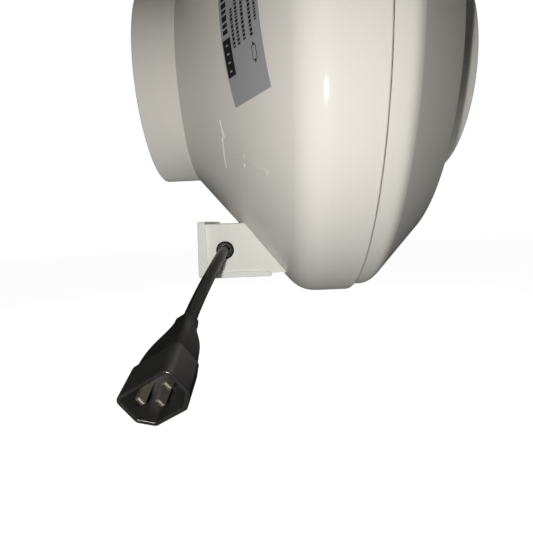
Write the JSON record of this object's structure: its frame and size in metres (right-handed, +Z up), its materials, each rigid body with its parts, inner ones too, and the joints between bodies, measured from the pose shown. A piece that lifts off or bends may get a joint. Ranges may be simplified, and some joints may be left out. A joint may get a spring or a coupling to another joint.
{
  "type": "inline duct fan",
  "caption": "Inline centrifugal duct fan with a two-part moulded casing, spigots at both ends, an external-rotor motor, a side terminal box and a short plug lead.",
  "frame": {"origin": "centre of the outlet spigot's rim, on the duct axis", "axes": "+X along the duct axis from the outlet rim to the inlet rim, +Z up, terminal box below, on the -Z side"},
  "size_m": [0.2313, 0.3914, 0.3638],
  "materials": {
    "casing": "glossy moulded plastic",
    "box": "satin moulded plastic",
    "black_rubber": "matte",
    "cord": "satin pvc",
    "plug": "satin",
    "brass": "polished",
    "label": "satin film",
    "zinc": "zinc plated",
    "steel": "ground",
    "painted_steel": "satin black",
    "lamination": "rolled",
    "aluminium": "die cast",
    "copper": "enamelled",
    "impeller": "satin",
    "bracket": "satin",
    "terminal": "satin",
    "capacitor": "satin",
    "brown_wire": "pvc",
    "blue_wire": "pvc",
    "earth_wire": "pvc",
    "nylon": "natural nylon"
  },
  "bodies": {
    "root": {"outlet_casing": "casing", "inlet_casing": "casing", "casing_seal": "black_rubber", "inlet_nozzle": "painted_steel", "nozzle_screws": "zinc", "motor_bracket": "bracket", "bracket_screws": "zinc", "motor_flange": "aluminium", "motor_screws": "zinc", "stator_core": "lamination", "stator_windings": "copper", "bearing_outer_races": "steel", "preload_spring": "steel", "terminal_box": "box", "terminal_box_lid": "box", "lid_screws": "zinc", "box_screws": "zinc", "cord_grommet": "black_rubber", "lead_grommet": "black_rubber", "terminal_block": "terminal", "terminal_screws": "brass", "block_screws": "zinc", "run_capacitor": "capacitor", "capacitor_clip": "zinc", "cord_clamp": "nylon", "cord_clamp_screws": "zinc", "supply_sheath": "cord", "line_core": "brown_wire", "neutral_core": "blue_wire", "earth_core": "earth_wire", "motor_lead": "cord", "lead_clips": "nylon", "motor_cores": "blue_wire", "power_cord": "cord", "plug_shroud": "plug", "plug_pin_carrier": "plug", "plug_grip": "plug", "plug_pins": "brass", "rating_label": "label"},
    "rotor": {"rotor_cup": "painted_steel", "rotor_core": "lamination", "rotor_cage_rings": "aluminium", "rotor_shaft": "steel", "shaft_circlip": "steel", "bearing_inner_races": "steel", "impeller": "impeller", "impeller_shroud": "impeller", "impeller_screws": "zinc", "balance_clips": "steel"},
    "ball_sets": {"bearing_balls": "steel", "bearing_cages": "brass"}
  },
  "joints": [
    {"name": "impeller_spin", "type": "hinge", "parent": "root", "child": "rotor", "pos_m": [0.15, 0, 0], "axis": [-1, 0, 0], "continuous": true},
    {"name": "ball_spin", "type": "hinge", "parent": "root", "child": "ball_sets", "pos_m": [0.14, 0, 0], "axis": [-1, 0, 0], "continuous": true}
  ],
  "couplings": [
    {"joint": "ball_spin", "follows": "impeller_spin", "ratio": 0.37}
  ]
}
